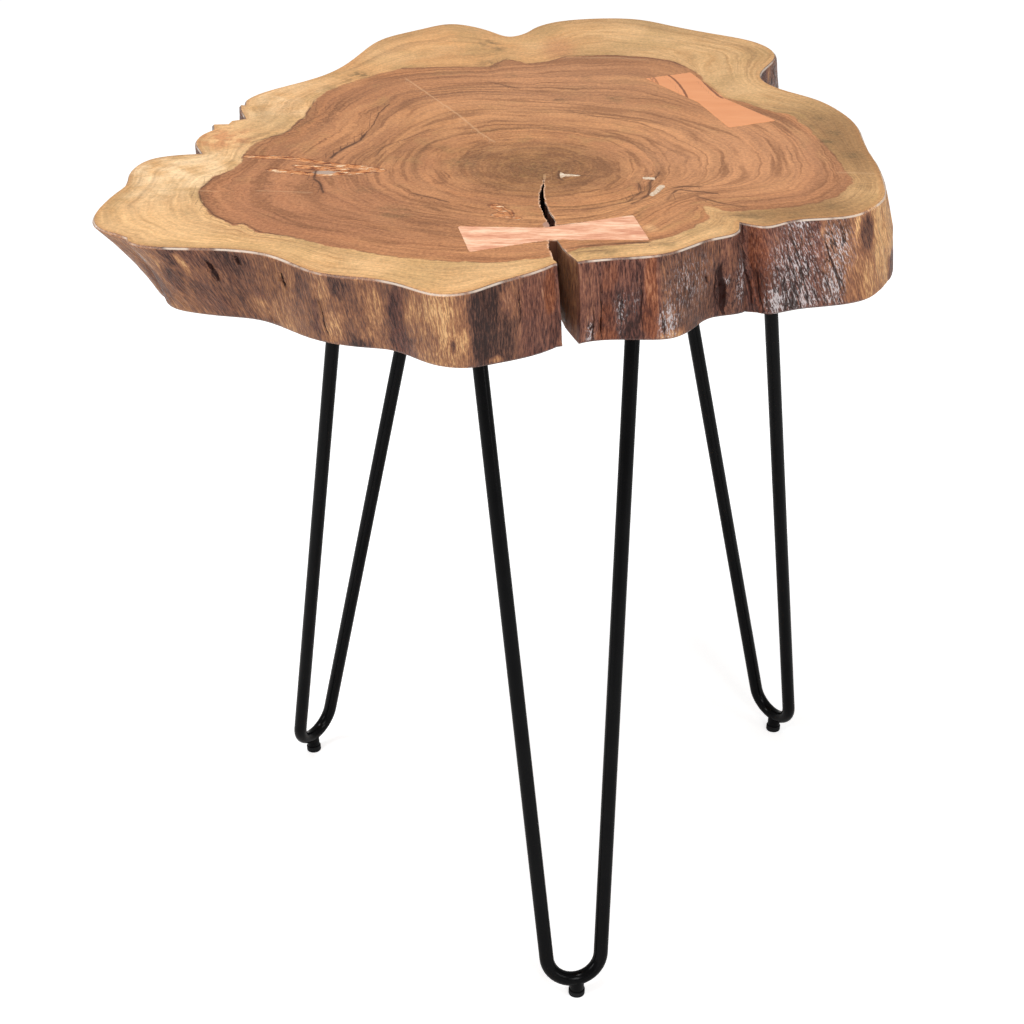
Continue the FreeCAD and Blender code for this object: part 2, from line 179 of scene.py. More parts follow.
# Patches of the edge seen from the front: x, height, half width, half height, paleness, redness.
edge_patches = (
    (-190, 553, 8, 8, 0.2, 0.3), (-176, 552, 10, 6, 0.3, 0.3), (-158, 551, 16, 8, 0.28, 0.3),
    (-197, 540, 3, 13, 0.82, 0.0), (-186, 549, 3, 8, 0.8, 0.0), (-206, 527, 8, 14, 0.34, 0.2),
    (-193, 535, 6, 10, 0.36, 0.3), (-170, 525, 10, 14, 0.36, 0.3), (-150, 535, 14, 12, 0.4, 0.3),
    (-142, 520, 9, 8, 0.62, 0.1), (-125, 520, 8, 14, 0.66, 0.1), (-121, 545, 7, 10, 0.64, 0.1),
    (-113, 545, 4, 12, 0.36, 0.2), (-107, 528, 2, 14, 0.32, 0.4), (-103, 548, 5, 10, 0.68, 0.0),
    (-92, 551, 7, 7, 0.28, 0.2), (-96, 522, 7, 12, 0.7, 0.0), (-85, 530, 7, 18, 0.44, 0.1),
    (-82, 512, 8, 4, 0.16, 0.3), (-72, 540, 6, 16, 0.7, 0.0), (-61, 540, 3, 14, 0.22, 0.6),
    (-58, 520, 6, 12, 0.22, 0.5), (-50, 540, 5, 16, 0.74, 0.0), (-44, 530, 8, 12, 0.6, 0.1),
    (-35, 545, 10, 12, 0.88, 0.0), (-32, 530, 3, 8, 0.94, 0.0), (-27, 524, 2, 5, 0.28, 0.2),
    (-22, 528, 3, 8, 0.82, 0.0), (-10, 545, 9, 14, 0.1, 0.2), (-8, 525, 8, 14, 0.08, 0.2),
    (-2, 512, 3, 3, 0.7, 0.0), (4, 545, 5, 12, 0.44, 0.3), (1, 528, 4, 12, 0.18, 0.2),
    (18, 535, 7, 28, 0.36, 0.6), (27, 545, 4, 14, 0.42, 1.2), (29, 520, 4, 12, 0.32, 0.7),
    (48, 535, 6, 26, 0.36, 0.5), (62, 548, 5, 12, 0.36, 1.0), (61, 520, 5, 14, 0.34, 1.1),
    (68, 538, 4, 10, 0.22, 0.7), (74, 527, 6, 20, 0.17, 0.8), (79, 545, 4, 12, 0.24, 0.8),
    (85, 547, 4, 13, 0.52, 1.15), (85, 525, 4, 12, 0.3, 1.1), (96, 548, 6, 10, 0.38, 0.2),
    (106, 538, 14, 20, 0.34, 0.15), (61, 512, 6, 5, 0.48, 1.3), (42, 540, 5, 20, 0.4, 0.6),
    (44, 518, 5, 10, 0.36, 0.6), (98, 511, 8, 4, 0.68, 0.2), (121, 545, 4, 14, 0.38, 0.3),
    # The dark patches at x 126 and 140 also paint the shade in the deep cracks there.
    (126, 525, 3, 20, 0.12, 0.4), (131, 545, 5, 14, 0.34, 0.4), (132, 520, 4, 10, 0.28, 0.4),
    (140, 535, 3, 24, 0.16, 0.4), (149, 548, 5, 14, 0.36, 1.2), (150, 525, 5, 18, 0.24, 1.05),
    (162, 549, 5, 10, 0.36, 0.6), (172, 530, 13, 20, 0.22, 0.6), (165, 514, 8, 5, 0.12, 0.4),
    (180, 548, 5, 8, 0.32, 0.5), (187, 540, 2, 18, 0.34, 0.9), (192, 552, 4, 6, 0.66, 0.3),
    (197, 540, 7, 20, 0.44, 0.2), (196, 518, 8, 8, 0.3, 0.3), (207, 535, 3, 20, 0.56, 0.0),
    (212, 553, 3, 8, 0.92, 0.0), (212, 530, 3, 20, 0.6, 0.1), (219, 548, 5, 10, 0.3, 0.0),
    (220, 522, 5, 14, 0.78, 0.1), (230, 536, 6, 22, 0.92, 0.0), (238, 545, 3, 12, 0.9, 0.1),
    (239, 517, 4, 8, 0.26, 0.2),
)
# Painted sheen and glints on the thick lacquer over the wrinkled dark wood, standing in for its reflections: x,
# height, half width, half height, strength.
painted_lacquer_glints = (
    (-215, 548, 3, 5, 2.0), (51, 514, 4, 12, 0.8), (68, 528, 4, 20, 0.55), (76, 535, 5, 14, 0.3),
    (97, 520, 8, 14, 0.8), (108, 538, 17, 24, 0.4), (131, 532, 5, 3, 0.7), (140, 530, 4, 18, 0.6),
    (163, 517, 10, 12, 1.0), (173, 532, 20, 30, 0.68), (178, 516, 14, 10, 0.9), (174, 556, 14, 3, 0.8),
    (197, 522, 9, 16, 1.0), (199, 540, 13, 22, 0.65), (186, 549, 5, 5, 0.5),
)


def hold(piece):
    bpy.ops.object.select_all(action="DESELECT")
    piece.select_set(True)
    bpy.context.view_layer.objects.active = piece


def opened_copy(node_name, new_name, flat_angle):
    piece = frame["nodes"][node_name].copy()
    piece.data = piece.data.copy()
    piece.name = new_name
    piece.data.name = new_name
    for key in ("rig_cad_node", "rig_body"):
        if key in piece:
            del piece[key]
    piece.parent = None
    bpy.context.scene.collection.objects.link(piece)
    hold(piece)
    bpy.ops.object.mode_set(mode="EDIT")
    bpy.ops.mesh.select_all(action="SELECT")
    bpy.ops.mesh.remove_doubles(threshold=weld_gap)
    bpy.ops.mesh.dissolve_limited(angle_limit=flat_angle)
    bpy.ops.mesh.customdata_custom_splitnormals_clear()
    return piece


def select_faces(piece, wanted):
    net = bmesh.from_edit_mesh(piece.data)
    for face in net.faces:
        face.select_set(wanted(face))
    net.select_flush_mode()
    bmesh.update_edit_mesh(piece.data)


def every_face(face):
    return True


def above_underside(face):
    return face.normal.z > -0.6


def on_edge_side(face):
    return abs(face.normal.z) < 0.6


def cut_net(piece, box, step, odd_cuts, even_cuts):
    low_corner, high_corner = box
    for axis in (0, 1):
        across = mathutils.Vector((0, 0, 0))
        across[axis] = 1
        for cut in range(1, int((high_corner[axis] - low_corner[axis]) / step) + 1):
            place = across * (low_corner[axis] + cut * step)
            select_faces(piece, odd_cuts if cut % 2 else even_cuts)
            bpy.ops.mesh.bisect(plane_co=place, plane_no=across, threshold=cut_gap)


def smooth_share(low, high, value):
    share = np.clip((value - low) / (high - low), 0, 1)
    return share * share * (3 - 2 * share)


def distance_to_line(places, line):
    nearest = np.full(len(places), 10.0)
    for start, end in zip(line[:-1], line[1:]):
        start, end = np.array(start) * MM, np.array(end) * MM
        run = end - start
        share = np.clip((places - start) @ run / (run @ run), 0, 1)
        nearest = np.minimum(nearest, np.linalg.norm(places - start - share[:, None] * run, axis=1))
    return nearest


def marked(places, lines, soft):
    mark = np.zeros(len(places))
    for width, strength, line in lines:
        half = width * MM / 2
        away = distance_to_line(places, line)
        mark = np.maximum(mark, strength * (1 - smooth_share(half - soft * MM, half + soft * MM, away)))
    return mark


def beside(places, lines):
    nearest = np.full(len(places), 4.5 * MM)
    field = np.zeros((len(places), 3))
    field[:, 0] = 10 * MM
    for width, strength, line in lines:
        corners = np.array(line, float) * MM
        last_step = len(corners) - 2
        for step, (start, run) in enumerate(zip(corners[:-1], np.diff(corners, axis=0))):
            length = np.linalg.norm(run)
            offset = places - start
            share = offset @ run / length ** 2
            away = np.linalg.norm(offset - np.clip(share, 0, 1)[:, None] * run, axis=1)
            across = (run[0] * offset[:, 1] - run[1] * offset[:, 0]) / length
            over = np.zeros(len(places))
            if step == 0:
                over = np.maximum(over, -share * length)
            if step == last_step:
                over = np.maximum(over, (share - 1) * length)
            signed = np.where(over > 0, across, np.sign(across) * away)
            fade = strength * (1 - smooth_share(-1 * MM, 3 * MM, over))
            closer = away < nearest
            nearest[closer] = away[closer]
            field[closer] = np.column_stack((signed, np.full(len(places), width / 2 * MM), fade))[closer]
    return field


def sorted_apart(lines, apart):
    groups = []
    for line in lines:
        corners = np.array(line[2], float) * MM
        steps = np.linspace(0, 1, 12)[:, None]
        along = np.vstack([start + steps * (end - start) for start, end in zip(corners[:-1], corners[1:])])
        for group in groups:
            if all(distance_to_line(along, other[2]).min() > apart for other in group):
                group.append(line)
                break
        else:
            groups.append([line])
    return groups


def inside(places, line):
    corners = np.array(line) * MM
    odd = np.zeros(len(places), bool)
    for (x0, y0), (x1, y1) in zip(corners, np.roll(corners, -1, axis=0)):
        if y0 != y1:
            odd ^= ((places[:, 1] < y0) != (places[:, 1] < y1)) & (
                places[:, 0] < x0 + (places[:, 1] - y0) / (y1 - y0) * (x1 - x0))
    return odd


slab = opened_copy("trunk_slab", "trunk_slice", flat_angle=0.01)
cut_net(slab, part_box("trunk_slab"), net_step, every_face, above_underside)
for layer in range(1, net_layers):
    level = under_level + layer * (top_level - under_level) / net_layers
    select_faces(slab, above_underside)
    bpy.ops.mesh.bisect(plane_co=(0, 0, level), plane_no=(0, 0, 1), threshold=cut_gap)
select_faces(slab, on_edge_side)
bpy.ops.mesh.subdivide(number_cuts=1)
net = bmesh.from_edit_mesh(slab.data)
middles = np.array([face.calc_center_median().to_tuple() for face in net.faces])
facing = np.array([face.normal.to_tuple() for face in net.faces])
near_mark = np.full(len(middles), False)
for width, strength, line in dark_lines + pale_lines + bark_lines:
    near_mark |= distance_to_line(middles[:, :2], line) < (width / 2 + 2.4) * MM
near_mark &= facing[:, 2] > 0.9
for x, low, high, width, depth in side_slits:
    near_mark |= ((np.abs(middles[:, 0] - x * MM) < (width / 2 + 2.5) * MM) & (facing[:, 1] < -0.3)
                  & (middles[:, 2] > (low - 1) * MM) & (middles[:, 2] < (high + 1) * MM))
for face, chosen in zip(net.faces, near_mark):
    face.select_set(bool(chosen))
net.select_flush_mode()
bmesh.update_edit_mesh(slab.data)
bpy.ops.mesh.subdivide(number_cuts=1)
bpy.ops.object.mode_set(mode="OBJECT")



def read_points(field):
    values = np.zeros(len(mesh.vertices) * 3)
    mesh.vertices.foreach_get(field, values)
    return values.reshape(-1, 3)


mesh = slab.data
points, outward = read_points("co"), read_points("normal")
flat = points[:, :2]
on_top = points[:, 2] > top_level - level_gap
on_side = (points[:, 2] < top_level - arris_depth) & (points[:, 2] > under_level + arris_depth)


# Each point's place among the rings: 0 at the pith, 1 at the edge of the heartwood, more in the sapwood.
def smoothed_round(values, reach, soft):
    blur = np.exp(-(np.arange(-reach, reach + 1) / soft) ** 2)
    return np.convolve(np.concatenate((values[-reach:], values, values[:reach])), blur / blur.sum(), "valid")


def by_degree(values):
    return np.interp(degrees, np.arange(361), np.append(values, values[0]))


def reach_round(line):
    offsets = np.array(line) * MM - pith
    angles = np.degrees(np.arctan2(offsets[:, 1], offsets[:, 0])) % 360
    order = np.argsort(angles)
    reach = np.interp(np.arange(360), angles[order], np.linalg.norm(offsets, axis=1)[order], period=360)
    return by_degree(smoothed_round(reach, 8, 3.0))


offset = flat - pith
radius = np.maximum(np.linalg.norm(offset, axis=1), 0.5 * MM)
degrees = np.degrees(np.arctan2(offset[:, 1], offset[:, 0])) % 360
dark_reach, outer_reach, heart_reach = map(reach_round, (dark_ring, outer_ring, heartwood_edge))
round_share = smooth_share(10 * MM, 60 * MM, radius)
dark_reach = 72 * MM * (1 - round_share) + dark_reach * round_share
dark_place, outer_place = 0.42, 0.74
ring_place = np.where(
    radius < dark_reach, dark_place * radius / dark_reach,
    np.where(radius < outer_reach,
             dark_place + (outer_place - dark_place) * (radius - dark_reach) / (outer_reach - dark_reach),
             outer_place + (1 - outer_place) * (radius - outer_reach) / np.maximum(heart_reach - outer_reach, 8 * MM)))
closed_edge = heartwood_edge + heartwood_edge[:1]
sap_depth = distance_to_line(flat, closed_edge)
in_heart = inside(flat, heartwood_edge)
sap_depth[in_heart] *= -1
rim_tree = mathutils.kdtree.KDTree(int(np.sum(on_top)))
rim_edges = set()
for face in mesh.polygons:
    if abs(face.normal.z) < 0.9 and face.center.z > top_level - 3 * MM:
        rim_edges.update(face.vertices)
for index in rim_edges:
    x, y = flat[index] / MM
    beside_check = check_left < x < check_right + 2 and check_front - 3 < y < check_back + 3
    if on_top[index] and not beside_check and sap_depth[index] > -8 * MM:
        rim_tree.insert((x * MM, y * MM, 0), index)
rim_tree.balance()
rim = np.array([rim_tree.find((x, y, 0))[2] for x, y in flat])
sap_share = np.clip(sap_depth, 0, 1) / (np.clip(sap_depth, 0, 1) + rim + 0.1 * MM)
ring_place = np.where(sap_depth > 0, 1 + 0.3 * sap_share, np.minimum(ring_place, 1.0))

dark_groups = sorted_apart(dark_lines, 10 * MM)
dark_fields = [beside(flat, group) for group in dark_groups]
pale_field = beside(flat, pale_lines)
bark_pocket = marked(flat, bark_lines, 2.6)
stain = np.zeros(len(flat))
for x, y, size, strength in stains:
    away = np.linalg.norm(flat - np.array((x, y)) * MM, axis=1)
    stain = np.maximum(stain, strength * (1 - smooth_share(0.2 * size * MM, 1.3 * size * MM, away)))

# The edge: how far each point has fallen from the rim, its tone, its slits and its ridges.
drop = np.clip(top_level - points[:, 2], 0, thickness)
top_reach, under_reach = np.zeros(360), np.zeros(360)
for level_points, reach in ((on_top, top_reach), (points[:, 2] < under_level + level_gap, under_reach)):
    for degree, away in zip(degrees[level_points].astype(int) % 360, radius[level_points]):
        for near_degree in (degree - 1, degree, (degree + 1) % 360):
            reach[near_degree] = max(reach[near_degree], away)
lean = by_degree(smoothed_round(top_reach - under_reach, 20, 8.0)) / thickness
foot = flat + offset / radius[:, None] * (lean * drop)[:, None]
tone_x, tone_pale, tone_red = np.array(edge_tones).T
paleness = np.interp(foot[:, 0] / MM, tone_x, tone_pale)
redness = np.interp(foot[:, 0] / MM, tone_x, tone_red)
behind = outward[:, 1] > 0.1
paleness = np.where(behind, np.interp(-foot[:, 0] / MM + 20, tone_x, tone_pale) * 0.7 + 0.14, paleness)
redness = np.where(behind, np.interp(-foot[:, 0] / MM + 20, tone_x, tone_red) * 0.7 + 0.1, redness)


def rough_at(x, y, z):
    return noise.noise(mathutils.Vector((x, y, z)))


waver = np.array([rough_at(x * 210, y * 210, z * 22) for x, y, z in zip(foot[:, 0], foot[:, 1], points[:, 2])])
painted_glints = np.zeros(len(flat))
fronting = outward[:, 1] < 0.1


def patch_share(x, height, half_width, half_height, core=0.6):
    tilt = 0.45 * smooth_share(-100, -170, np.array(float(x)))
    away_x = flat[:, 0] / MM - x - tilt * (height - points[:, 2] / MM) + 2.2 * waver
    away_z = points[:, 2] / MM - height
    away = np.hypot(away_x / half_width, away_z / half_height)
    return (1 - smooth_share(core, 1.3, away)) * fronting


for x, height, half_width, half_height, pale, red in edge_patches:
    share = patch_share(x, height, half_width, half_height)
    paleness += (pale - paleness) * share
    redness += (red - redness) * share
for x, height, half_width, half_height, strength in painted_lacquer_glints:
    painted_glints = np.maximum(painted_glints, strength * patch_share(x, height, half_width, half_height, 0.1))


def near_check(margin):
    return ((flat[:, 0] > (check_left - margin) * MM) & (flat[:, 0] < (check_right + margin) * MM)
            & (flat[:, 1] > check_front * MM) & (flat[:, 1] < check_back * MM))


in_check = near_check(0)
# In the check, the wall facing left is painted as lit, paler towards the front, and the other wall is painted dark as
# shade.
lit_wall = np.where(flat[:, 1] > -185 * MM, 0.2, 0.54)
paleness = np.where(in_check, np.where(outward[:, 0] < 0, lit_wall, 0.1), paleness)
redness = np.where(in_check, 0.3, redness)
slit_fields = [np.tile((10 * MM, 0.0, 0.0), (len(flat), 1)) for group in range(2)]
slit_depth = np.zeros(len(flat))
for order, (x, low, high, width, depth) in enumerate(sorted(side_slits)):
    middle, half = (low + high) / 2 * MM, (high - low) / 2 * MM
    taper = np.sqrt(np.clip(1 - ((points[:, 2] - middle) / half) ** 2, 0, 1))
    wander = x * MM + 0.4 * MM * np.sin(points[:, 2] / MM * 0.3 + x)
    across = foot[:, 0] - wander
    ends = 1 - smooth_share(half - 1 * MM, half + 1.5 * MM, np.abs(points[:, 2] - middle))
    near = (np.abs(across) < 3.4 * MM) & (ends > 0) & (outward[:, 1] < -0.2)
    slit_fields[order % 2][near] = np.column_stack((across, width / 2 * MM * (0.35 + 0.65 * taper), ends))[near]
    mark = (1 - smooth_share(0.3, 1.1, np.abs(across) / (width / 2 * MM + 0.3 * MM))) * taper * near
    slit_depth = np.maximum(slit_depth, mark * depth * MM)

check_rim = sorted(index for index in rim_edges if on_top[index] and in_check[index])
check_tree = mathutils.kdtree.KDTree(len(check_rim))
for order, index in enumerate(check_rim):
    check_tree.insert((flat[index, 0], flat[index, 1], 0), order)
check_tree.balance()
torn_rim = np.full(len(flat), 10 * MM)
tear = np.zeros(len(flat))
torn_reach, torn_depth = 5 * MM, 30 * MM
for index in np.nonzero(near_check(8))[0]:
    x, y = flat[index]
    if on_top[index]:
        spot, order, away = check_tree.find((x, y, 0))
        torn_rim[index] = away
        side, ease = outward[check_rim[order], 0], 1 - away / torn_reach
    else:
        side, ease = outward[index, 0], 1 - drop[index] / torn_depth
    jag = rough_at(2.2, y * 380, 4.1) + 0.6 * rough_at(5.2, y * 900, 4.1)
    torn_back = smooth_share(-180 * MM, -160 * MM, y) * smooth_share(-98 * MM, -118 * MM, y)
    if side > 0:
        tear[index] = -MM * (1.3 * torn_back + 0.9 * jag) * max(0, ease)
    else:
        tear[index] = MM * 0.6 * jag * max(0, ease)

moved = points.copy()
moved[:, 0] += tear * (points[:, 2] > under_level + arris_depth)
for index in range(len(points)):
    x, y, z = points[index]
    if on_top[index]:
        if bark_pocket[index] > 0:
            rough = rough_at(x * 330, y * 330, 1.7)
            moved[index, 2] = min(z - MM * bark_pocket[index] * (0.3 + 0.7 * rough), top_level)
    elif on_side[index]:
        spot_x, spot_y = foot[index]
        ridge = rough_at(spot_x * 260, spot_y * 260, z * 18)
        swell = rough_at(spot_x * 70, spot_y * 70, z * 14 + 5)
        wrinkle = abs(rough_at(spot_x * 150, spot_y * 150, z * 34 + 9))
        ease = min(1, (top_level - z) / (4 * MM)) * min(1, (z - under_level) / (3 * MM))
        push = MM * ease * (0.35 * ridge + 0.7 * swell - 1.0 * wrinkle) - slit_depth[index] * ease
        moved[index, :2] += outward[index, :2] * push
hollow = smooth_share(-190 * MM, -215 * MM, flat[:, 0]) * np.sin(np.pi * drop / thickness)
moved[:, 0] += 3.5 * MM * hollow * on_side
mesh.vertices.foreach_set("co", moved.ravel())


def keep(name, values):
    kind, field = ("FLOAT_VECTOR", "vector") if np.ndim(values) == 2 else ("FLOAT", "value")
    layer = mesh.attributes.new(name, kind, "POINT")
    layer.data.foreach_set(field, np.ascontiguousarray(values, np.float32).ravel())


keep("ring_share", ring_place / radius)
keep("sap_depth", sap_depth)
keep("rim", rim)
for order, field in enumerate(dark_fields):
    keep("dark_line_%d" % order, field)
keep("pale_line", pale_field)
keep("bark_pocket", bark_pocket)
keep("stain", stain)
keep("torn_rim", torn_rim)
keep("paleness", paleness)
keep("redness", redness)
for order, field in enumerate(slit_fields):
    keep("slit_%d" % order, field)
keep("painted_glints", painted_glints)
keep("fall_line", np.column_stack((foot, points[:, 2])))
mesh.update()


# The finish of the end grain: ring lines round the pith, red-brown heartwood, straw sapwood, clear satin lacquer.
def paint(red, green, blue):
    return tuple(((value / 255 + 0.055) / 1.055) ** 2.4 for value in (red, green, blue)) + (1,)


def fill(made, sockets):
    for key, value in sockets.items():
        if isinstance(value, bpy.types.NodeSocket):
            tree.links.new(value, made.inputs[key])
        else:
            made.inputs[key].default_value = value


def put(kind, sockets, **settings):
    made = tree.nodes.new(kind)
    for name, value in settings.items():
        setattr(made, name, value)
    fill(made, sockets)
    return made


def sum_of(operation, *values):
    return put("ShaderNodeMath", dict(enumerate(values)), operation=operation).outputs[0]


def times(first, second):
    return sum_of("MULTIPLY", first, second)


def swayed(base, part, size):
    return sum_of("MULTIPLY_ADD", sum_of("SUBTRACT", part, 0.5), size, base)


def vector_of(operation, first, second=None):
    sockets = {0: first} if second is None else {0: first, 1: second}
    return put("ShaderNodeVectorMath", sockets, operation=operation).outputs[0]


def scaled(vector, share):
    return put("ShaderNodeVectorMath", {0: vector, "Scale": share}, operation="SCALE").outputs[0]


def grain(vector, scale, detail=3.0, roughness=0.55):
    return put("ShaderNodeTexNoise",
               {"Vector": vector, "Scale": scale, "Detail": detail, "Roughness": roughness}).outputs[0]


def between(value, low, high, start=0.0, end=1.0):
    return put("ShaderNodeMapRange", {0: value, 1: low, 2: high, 3: start, 4: end},
               interpolation_type="SMOOTHSTEP").outputs[0]


def blend(share, first, second):
    return put("ShaderNodeMix", {0: share, 6: first, 7: second}, data_type="RGBA").outputs[2]


def tinted(wood, share, strength, red, green, blue):
    return blend(times(share, strength), wood, paint(red, green, blue))


def tones(value, *stops):
    made = put("ShaderNodeValToRGB", {0: value})
    steps = made.color_ramp.elements
    for index, (place, *colour) in enumerate(stops):
        step = steps[index] if index < 2 else steps.new(place)
        step.position = place
        step.color = paint(*colour)
    return made.outputs[0]


def mark_of(name, field="Fac"):
    return put("ShaderNodeAttribute", {}, attribute_name=name).outputs[field]


def line_share_of(name, wobble, soft, wider=0.0):
    field = put("ShaderNodeSeparateXYZ", {0: mark_of(name, "Vector")}).outputs
    away = sum_of("ABSOLUTE", sum_of("ADD", field[0], wobble))
    half = sum_of("ADD", field[1], wider * MM)
    return times(between(away, half, sum_of("ADD", half, soft * MM), 1.0, 0.0), field[2])


def near_spot(place, x, y, size):
    away = put("ShaderNodeVectorMath", {0: place, 1: (x * MM, y * MM, 0)}, operation="DISTANCE").outputs["Value"]
    return between(away, 0.15 * size * MM, size * MM, 1.0, 0.0)


def new_finish(name):
    global tree
    finish = bpy.data.materials.new(name)
    finish.use_nodes = True
    tree = finish.node_tree
    return finish, tree.nodes["Principled BSDF"]


def object_place():
    return put("ShaderNodeTexCoord", {}).outputs["Object"]


def bump_of(strength, distance, height):
    return put("ShaderNodeBump", {"Strength": strength, "Distance": distance, "Height": height}).outputs[0]


def stretched(vector, x, y, z):
    return put("ShaderNodeMapping", {"Vector": vector, "Scale": (x, y, z)}).outputs[0]


def scaled_place(place, x, y, stretch, turn):
    moved_place = vector_of("SUBTRACT", place, (x * MM, y * MM, 0))
    return put("ShaderNodeMapping",
               {"Vector": moved_place, "Rotation": (0, 0, math.radians(turn)), "Scale": stretch}).outputs[0]


def oval_spot(place, x, y, stretch, turn, size):
    return near_spot(scaled_place(place, x, y, stretch, turn), 0, 0, size)


def arcs(polar, around, across, detail):
    return grain(stretched(polar, around, around, across), 1.0, detail, 0.6)


def thin_line(value, width):
    away = sum_of("ABSOLUTE", sum_of("SUBTRACT", value, 0.5))
    return between(away, 0.25 * width, width, 1.0, 0.0)


def end_grain(name, gloss, coat, wear):
    finish, shader = new_finish(name)
    apart = put("ShaderNodeSeparateXYZ", {0: object_place()}).outputs
    flat_place = put("ShaderNodeCombineXYZ", {0: apart[0], 1: apart[1], 2: 0.0}).outputs[0]
    from_pith = vector_of("SUBTRACT", flat_place, (pith[0], pith[1], 0))
    away = put("ShaderNodeVectorMath", {0: from_pith}, operation="LENGTH").outputs["Value"]
    heading = vector_of("NORMALIZE", from_pith)
    ring = times(away, mark_of("ring_share"))
    curly = sum_of("MAXIMUM", near_spot(flat_place, -135, 20, 60), near_spot(flat_place, -150, -112, 45))
    ripple_size = sum_of("MULTIPLY_ADD", curly, 0.1, 0.012)
    ring = swayed(ring, grain(flat_place, 26), 0.06)
    ring = swayed(ring, grain(flat_place, 130, 2.0), ripple_size)
    # Arcs that follow the rings, ring lines, fine rays out from the pith, and pores.
    polar = vector_of("ADD", heading, put("ShaderNodeCombineXYZ", {2: ring}).outputs[0])
    broad = arcs(polar, 1.6, 8, 2.0)
    patchy = arcs(polar, 2.4, 15, 2.0)
    year = arcs(polar, 1.0, 38, 1.0)
    close = arcs(polar, 1.4, 84, 1.0)
    fine = arcs(polar, 6.0, 170, 1.5)
    line = sum_of("MAXIMUM", thin_line(arcs(polar, 0.55, 13, 0.0), 0.045),
                  thin_line(arcs(polar, 0.8, 28, 0.0), 0.07))
    hair = thin_line(arcs(polar, 0.9, 62, 0.0), 0.12)
    line_here = between(patchy, 0.36, 0.6)
    hair_here = between(arcs(polar, 2.0, 11, 2.0), 0.42, 0.6)
    greenish = near_spot(flat_place, 24, -70, 72)
    hair_here = sum_of("MAXIMUM", hair_here, sum_of("MAXIMUM", curly, greenish))
    mottle = grain(flat_place, 230)
    crisp = between(grain(flat_place, 460, 4.0, 0.75), 0.34, 0.66)
    rays = grain(vector_of("ADD", heading, scaled(flat_place, 6.0)), 42, 4.0)
    pores = grain(flat_place, 900, 2.0)
    heart = tones(ring, (0.0, 131, 99, 61), (0.1, 147, 106, 65), (0.19, 170, 117, 73), (0.215, 143, 99, 63),
                  (0.24, 166, 115, 73), (0.33, 182, 124, 80), (0.405, 186, 126, 82), (0.418, 129, 87, 54),
                  (0.436, 175, 120, 78), (0.53, 188, 130, 85), (0.575, 202, 143, 95), (0.59, 156, 106, 67),
                  (0.61, 186, 129, 85), (0.72, 188, 129, 86), (0.74, 147, 97, 63), (0.757, 184, 126, 83),
                  (0.87, 186, 126, 84), (0.9, 170, 114, 76), (0.985, 180, 120, 78), (1.0, 184, 122, 78))
    plain_heart = blend(between(broad, 0.36, 0.64), paint(166, 110, 76), paint(196, 140, 95))
    heart = blend(between(patchy, 0.38, 0.62, 0.5, 0.95), plain_heart, heart)
    olive_arc = between(arcs(polar, 3.0, 9, 3.0), 0.54, 0.7)
    heart = tinted(heart, olive_arc, 0.5, 172, 130, 83)
    # Redder at the low left, paler at the far right and the far side: place, size, strength and colour.
    for x, y, size, strength, colour in ((-120, -130, 150, 0.6, (160, 104, 74)), (150, -40, 130, 0.6, (204, 145, 104)),
                                         (40, 110, 130, 0.5, (198, 142, 102))):
        heart = tinted(heart, near_spot(flat_place, x, y, size), strength, *colour)
    heart = tinted(heart, greenish, 0.35, 138, 91, 54)
    heart = vector_of("MULTIPLY", heart, blend(greenish, (1, 1, 1, 1), (0.8, 0.8, 0.78, 1)))
    straw = tones(arcs(polar, 9.0, 75, 4.0), (0.3, 186, 140, 90), (0.48, 210, 165, 113), (0.62, 222, 178, 125),
                  (0.74, 196, 149, 99))
    far_sap = near_spot(flat_place, -60, 170, 210)
    straw = tinted(straw, far_sap, 0.6, 216, 157, 100)
    pale_patch = between(grain(flat_place, 14), 0.45, 0.65)
    straw = tinted(straw, pale_patch, 0.5, 228, 186, 134)
    olive_patch = between(grain(vector_of("ADD", flat_place, (0.7, 0.3, 0)), 19, 4.0), 0.46, 0.62)
    straw = tinted(straw, olive_patch, 0.55, 184, 148, 98)
    shaded = sum_of("MAXIMUM", near_spot(flat_place, 238, -20, 130), near_spot(flat_place, 185, -160, 80))
    straw = tinted(straw, shaded, 0.95, 152, 113, 72)
    # Painted glare: the sapwood at the left and far left is painted paler and brighter, as the lamps' glare on the
    # lacquer.
    painted_glare = sum_of("MAXIMUM", near_spot(flat_place, -222, -70, 95), times(near_spot(flat_place, -165, 75, 80), 0.6))
    painted_glare = times(painted_glare, between(grain(flat_place, 40, 4.0), 0.35, 0.65))
    straw = blend(painted_glare, straw, paint(248, 214, 168))
    sap_depth_mark = swayed(mark_of("sap_depth"), grain(flat_place, 65, 4.0, 0.7), 0.009)
    inner_band = times(between(sap_depth_mark, -0.009, -0.003), between(grain(flat_place, 13, 2.0), 0.4, 0.6))
    heart = tinted(heart, inner_band, 0.5, 146, 96, 66)
    wood = blend(between(sap_depth_mark, -0.0006, 0.0009), heart, straw)
    halo_here = between(grain(flat_place, 21), 0.5, 0.66)
    halo = times(between(sap_depth_mark, 0.0, 0.001), between(sap_depth_mark, 0.003, 0.013, 1.0, 0.0))
    wood = tinted(wood, times(halo, halo_here), 0.6, 160, 128, 82)
    seam_away = sum_of("ABSOLUTE", sap_depth_mark)
    seam = times(between(seam_away, 0.0003, 0.0012, 1.0, 0.0), between(grain(flat_place, 30, 2.0), 0.46, 0.58))
    wood = tinted(wood, seam, 0.55, 112, 74, 52)
    red_streak = oval_spot(flat_place, 40, 195, (2.4, 1.0, 1.0), -12, 46)
    wood = tinted(wood, red_streak, 0.6, 196, 134, 92)
    torn = near_spot(flat_place, -183, -12, 36)
